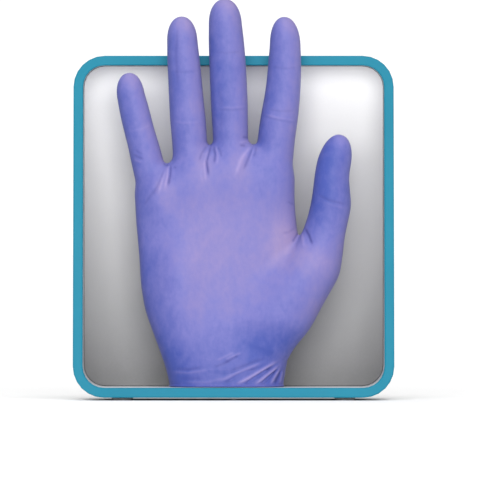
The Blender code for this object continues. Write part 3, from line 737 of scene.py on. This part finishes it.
def colour(red, green, blue):
    """A colour given as it looks on a screen, 0 to 255, made linear."""
    linear = []
    for level in (red / 255, green / 255, blue / 255):
        linear.append(level / 12.92 if level <= 0.04045 else ((level + 0.055) / 1.055) ** 2.4)
    return (*linear, 1.0)


# The slack colour also serves as painted shade on left sides, and the stretched colour as painted light on right
# sides.
FILM_SLACK_AND_SHADE = (70, 84, 162)
FILM_PLAIN = (111, 111, 178)
FILM_STRETCHED_AND_LIT = (149, 133, 177)
# The ridge colour is a painted highlight on the folds, and the groove colour is painted shade in them.
FILM_RIDGE_HIGHLIGHT = (176, 158, 204)
FILM_GROOVE_SHADE = (58, 60, 128)


def make_film_material():
    """Thin dipped film: lilac where it is stretched, bluer where it is slack, with painted highlights on
    its folds' ridges and right sides, and painted shade in its folds' grooves and on its left sides.
    """
    g = Graph("nitrile_film")
    tone = g.add("ShaderNodeAttribute", attribute_name="film_tone").outputs["Fac"]
    ridge = g.add("ShaderNodeAttribute", attribute_name="film_ridge_highlight").outputs["Fac"]
    groove = g.add("ShaderNodeAttribute", attribute_name="film_groove_shade").outputs["Fac"]
    mottle = g.noise(75.0, 4.0, 0.6)
    blotches = g.noise(330.0, 3.0, 0.6, (1, 1, 0.6))
    tone = g.math("ADD", tone, g.spread(mottle, 0.3, 0.7, -0.09, 0.09))
    tone = g.math("ADD", tone, g.spread(blotches, 0.3, 0.7, -0.07, 0.07))
    base = g.mix(g.spread(tone, 0.0, 0.4, 0, 1), colour(*FILM_SLACK_AND_SHADE), colour(*FILM_PLAIN))
    base = g.mix(g.spread(tone, 0.4, 1.0, 0, 1), base, colour(*FILM_STRETCHED_AND_LIT))
    # Painted highlight on the folds' ridges, and painted shade in their grooves and on the left sides.
    base = g.mix(g.math("MULTIPLY", ridge, 0.5), base, colour(*FILM_RIDGE_HIGHLIGHT))
    base = g.mix(g.math("MULTIPLY", groove, 0.85), base, colour(*FILM_GROOVE_SHADE))
    grain = g.noise(1500.0, 2.0, 0.6)
    cells = g.noise(520.0, 3.0, 0.5)
    relief = g.math("ADD", g.math("MULTIPLY", grain, 0.5), g.math("MULTIPLY", cells, 0.5))
    g.out(Base_Color=base, Roughness=g.spread(mottle, 0.3, 0.7, 0.44, 0.54))
    g.out(Specular_IOR_Level=0.22, Sheen_Weight=0.05)
    g.out(Normal=g.bump(relief, 0.4, 0.0002))
    return g.material


def make_teal_material():
    """The rim: satin moulded plastic."""
    g = Graph("teal_moulded")
    cloud = g.noise(22.0, 3.0)
    grain = g.noise(1800.0, 2.0)
    base = g.mix(g.spread(cloud, 0.3, 0.7, 0, 1), colour(22, 121, 146), colour(28, 127, 152))
    g.out(Base_Color=base, Roughness=g.spread(g.noise(90.0), 0.3, 0.7, 0.42, 0.5))
    g.out(Specular_IOR_Level=0.15)
    g.out(Normal=g.bump(grain, 0.15, 0.0001))
    return g.material


def make_case_material():
    """The shell: light grey moulded plastic with a fine grain."""
    g = Graph("grey_moulded")
    cloud = g.noise(18.0, 3.0)
    grain = g.noise(1500.0, 2.0)
    base = g.mix(g.spread(cloud, 0.3, 0.7, 0, 1), colour(216, 218, 220), colour(224, 226, 228))
    g.out(Base_Color=base, Roughness=g.spread(g.noise(80.0), 0.3, 0.7, 0.42, 0.5))
    g.out(Normal=g.bump(grain, 0.2, 0.0001))
    return g.material


PANEL_WHITE = 0.98
# The panel's fade, as (height above the floor in metres, how light it looks, 0 to 1). Its levels
# also offset the case's shading of the sheet, so they hold painted light where the rim shades it.
PANEL_FADE = ((0.0105, 0.48), (0.042, 0.615), (0.085, 0.735), (0.127, 0.83), (0.147, 0.9), (0.1695, 1.0))


def make_panel_material():
    """The sheet behind the hand: satin, grey at the bottom fading to white at the top, with painted light
    that offsets the case's shade on it.
    """
    g = Graph("panel_fade_and_painted_light")
    height = g.add("ShaderNodeSeparateXYZ", {"Vector": g.position()}).outputs["Z"]
    low, high = PANEL_FADE[0][0], PANEL_FADE[-1][0]
    ramp = g.add("ShaderNodeValToRGB", {"Fac": g.spread(height, low, high, 0.0, 1.0)})
    stops = ramp.color_ramp.elements
    while len(stops) < len(PANEL_FADE):
        stops.new(0.5)
    for stop, (at, level) in zip(stops, PANEL_FADE):
        light = PANEL_WHITE * level**2.2
        stop.position = (at - low) / (high - low)
        # The faint warm tint is painted to cancel the teal light that the case's walls throw on the sheet.
        stop.color = (light, light * 0.99, light * 0.985, 1.0)
    speckle = g.spread(g.noise(700.0, 2.0), 0.3, 0.7, 0.0, 0.03)
    g.out(Base_Color=g.mix(speckle, ramp.outputs["Color"], (0.5, 0.5, 0.5, 1.0)))
    g.out(Roughness=g.spread(g.noise(120.0), 0.3, 0.7, 0.5, 0.6))
    g.out(Normal=g.bump(g.noise(900.0, 2.0), 0.08, 0.0001))
    return g.material


def make_board_material():
    """The back board: dark grey plastic with a fine texture."""
    g = Graph("textured_board")
    grain = g.noise(1100.0, 3.0, 0.6)
    base = g.mix(g.spread(grain, 0.3, 0.7, 0, 1), colour(112, 115, 118), colour(128, 131, 134))
    g.out(Base_Color=base, Roughness=g.spread(g.noise(60.0), 0.3, 0.7, 0.55, 0.68))
    g.out(Normal=g.bump(grain, 0.4, 0.0002))
    return g.material


def make_form_material():
    """Off-white printed plastic, in layers 0.3 mm high."""
    g = Graph("printed_form")
    layers = g.add(
        "ShaderNodeTexWave",
        {"Vector": g.position(), "Scale": 167.0, "Distortion": 0.4, "Detail": 1.0},
        wave_type="BANDS",
        bands_direction="Z",
    ).outputs["Fac"]
    speckle = g.noise(240.0, 3.0)
    base = g.mix(g.spread(speckle, 0.3, 0.7, 0, 1), colour(214, 211, 203), colour(226, 224, 217))
    base = g.mix(g.math("MULTIPLY", layers, 0.12), base, colour(190, 187, 178))
    g.out(Base_Color=base, Roughness=g.spread(speckle, 0.3, 0.7, 0.5, 0.62))
    g.out(Normal=g.bump(layers, 0.5, 0.0001))
    return g.material


def make_steel_material():
    """The screws and hinge pins: plated steel, faintly streaked."""
    g = Graph("plated_steel")
    streaks = g.noise(500.0, 3.0, 0.6, (1, 1, 6))
    base = g.mix(g.spread(streaks, 0.3, 0.7, 0, 1), (0.50, 0.50, 0.51, 1), (0.66, 0.66, 0.67, 1))
    g.out(Base_Color=base, Roughness=g.spread(streaks, 0.3, 0.7, 0.22, 0.38))
    g.out(Metallic=1.0)
    g.out(Normal=g.bump(streaks, 0.1, 0.0001))
    return g.material


def make_rubber_material():
    """Pale grey silicone."""
    g = Graph("foot_rubber")
    dust = g.noise(160.0, 4.0, 0.6)
    base = g.mix(g.spread(dust, 0.4, 0.75, 0, 1), colour(196, 199, 201), colour(176, 178, 179))
    g.out(Base_Color=base, Roughness=g.spread(dust, 0.3, 0.7, 0.6, 0.8))
    g.out(Normal=g.bump(g.noise(1300.0, 2.0), 0.3, 0.0001))
    return g.material


def dress_nodes(materials):
    """Give each CAD node that stays in view the finish of its slot in the record."""
    for entry in record["subparts"]:
        node = frame["nodes"][entry["node"]]
        finish = materials.get(entry["material_slot"])
        if finish is None:
            continue
        for slot in node.material_slots:
            slot.material = finish
        if not node.material_slots:
            node.data.materials.append(finish)


# ---------------------------------------------------------------- stage


FLOOR_RADII = (0.001, 0.3, 1.0, 12.0)  # the last is further out than any camera stands
FLOOR_TURNS = 96
WORLD_LIGHT = 0.28
WORLD_LOOK = 1.1


def make_floor():
    """A pale round floor, as rings of faces."""
    g = Graph("pale_floor")
    g.out(Base_Color=(0.96, 0.96, 0.96, 1), Roughness=0.9, Specular_IOR_Level=0.0)
    angles = [math.tau * turn / FLOOR_TURNS for turn in range(FLOOR_TURNS)]
    points = [(r * math.cos(a), r * math.sin(a), 0.0) for r in FLOOR_RADII for a in angles]
    faces = []
    for ring in range(len(FLOOR_RADII) - 1):
        low, high = ring * FLOOR_TURNS, (ring + 1) * FLOOR_TURNS
        for turn in range(FLOOR_TURNS):
            after = (turn + 1) % FLOOR_TURNS
            faces.append((low + turn, low + after, high + after, high + turn))
    mesh = bpy.data.meshes.new("floor")
    mesh.from_pydata(points, [], faces)
    mesh.shade_smooth()
    mesh.materials.append(g.material)
    floor = bpy.data.objects.new("floor", mesh)
    bpy.context.scene.collection.objects.link(floor)


def make_world():
    """A white surround: the camera sees it as bright as the floor, and its light is soft and weak."""
    world = bpy.data.worlds.new("studio")
    bpy.context.scene.world = world
    world.use_nodes = True
    nodes, links = world.node_tree.nodes, world.node_tree.links
    surround = nodes["Background"]
    surround.inputs["Color"].default_value = (1, 1, 1, 1)
    ray = nodes.new("ShaderNodeLightPath")
    strength = nodes.new("ShaderNodeMapRange")
    strength.inputs["To Min"].default_value = WORLD_LIGHT
    strength.inputs["To Max"].default_value = WORLD_LOOK
    links.new(ray.outputs["Is Camera Ray"], strength.inputs["Value"])
    links.new(strength.outputs[0], surround.inputs["Strength"])


# The suns: name, degrees round from the front, degrees up, strength, and how soft, in degrees.
SUNS = (
    ("key", 0.5, 12.0, 2.62, 50.0),
    ("top", 0.0, 76.0, 1.7, 60.0),
    ("fill", 205.0, 38.0, 0.5, 70.0),
)


def make_lights():
    """Three broad suns: one from the front, one from above, and a weak one from behind."""
    for name, azimuth, elevation, strength, spread in SUNS:
        light = bpy.data.lights.new(name, "SUN")
        light.energy = strength
        light.angle = math.radians(spread)
        lamp = bpy.data.objects.new(name, light)
        turn, rise = math.radians(azimuth), math.radians(elevation)
        level = Vector((math.sin(turn), -math.cos(turn), 0.0)) * math.cos(rise)
        toward = level + Vector((0.0, 0.0, math.sin(rise)))
        lamp.rotation_euler = toward.to_track_quat("Z", "Y").to_euler()
        lamp.location = toward * 3
        bpy.context.scene.collection.objects.link(lamp)


VIEW_WIDTH = 0.2544  # what the picture's width shows at the target, in metres
TARGET = Vector((0.0034, case_low.y + 0.02, 0.0847))
CAMERA_RISE = math.radians(0.3)


def make_camera():
    """A long lens, level with the case and square on to it."""
    scene = bpy.context.scene
    data = bpy.data.cameras.new("camera")
    data.sensor_width = 36.0
    data.lens = 1000.0
    data.clip_end = 60.0
    camera = bpy.data.objects.new("camera", data)
    distance = VIEW_WIDTH / data.sensor_width * data.lens
    back = Vector((0.0, -math.cos(CAMERA_RISE), math.sin(CAMERA_RISE)))
    camera.location = TARGET + back * distance
    camera.rotation_euler = back.to_track_quat("Z", "Y").to_euler()
    scene.collection.objects.link(camera)
    scene.camera = camera
    scene.view_settings.view_transform = "Standard"


make_camera()
make_world()
make_lights()
make_floor()
make_glove(make_film_material())
dress_nodes(
    {
        "teal_plastic": make_teal_material(),
        "case_plastic": make_case_material(),
        "panel_sheet": make_panel_material(),
        "board_plastic": make_board_material(),
        "foot_rubber": make_rubber_material(),
        "steel": make_steel_material(),
        "form_plastic": make_form_material(),
    }
)
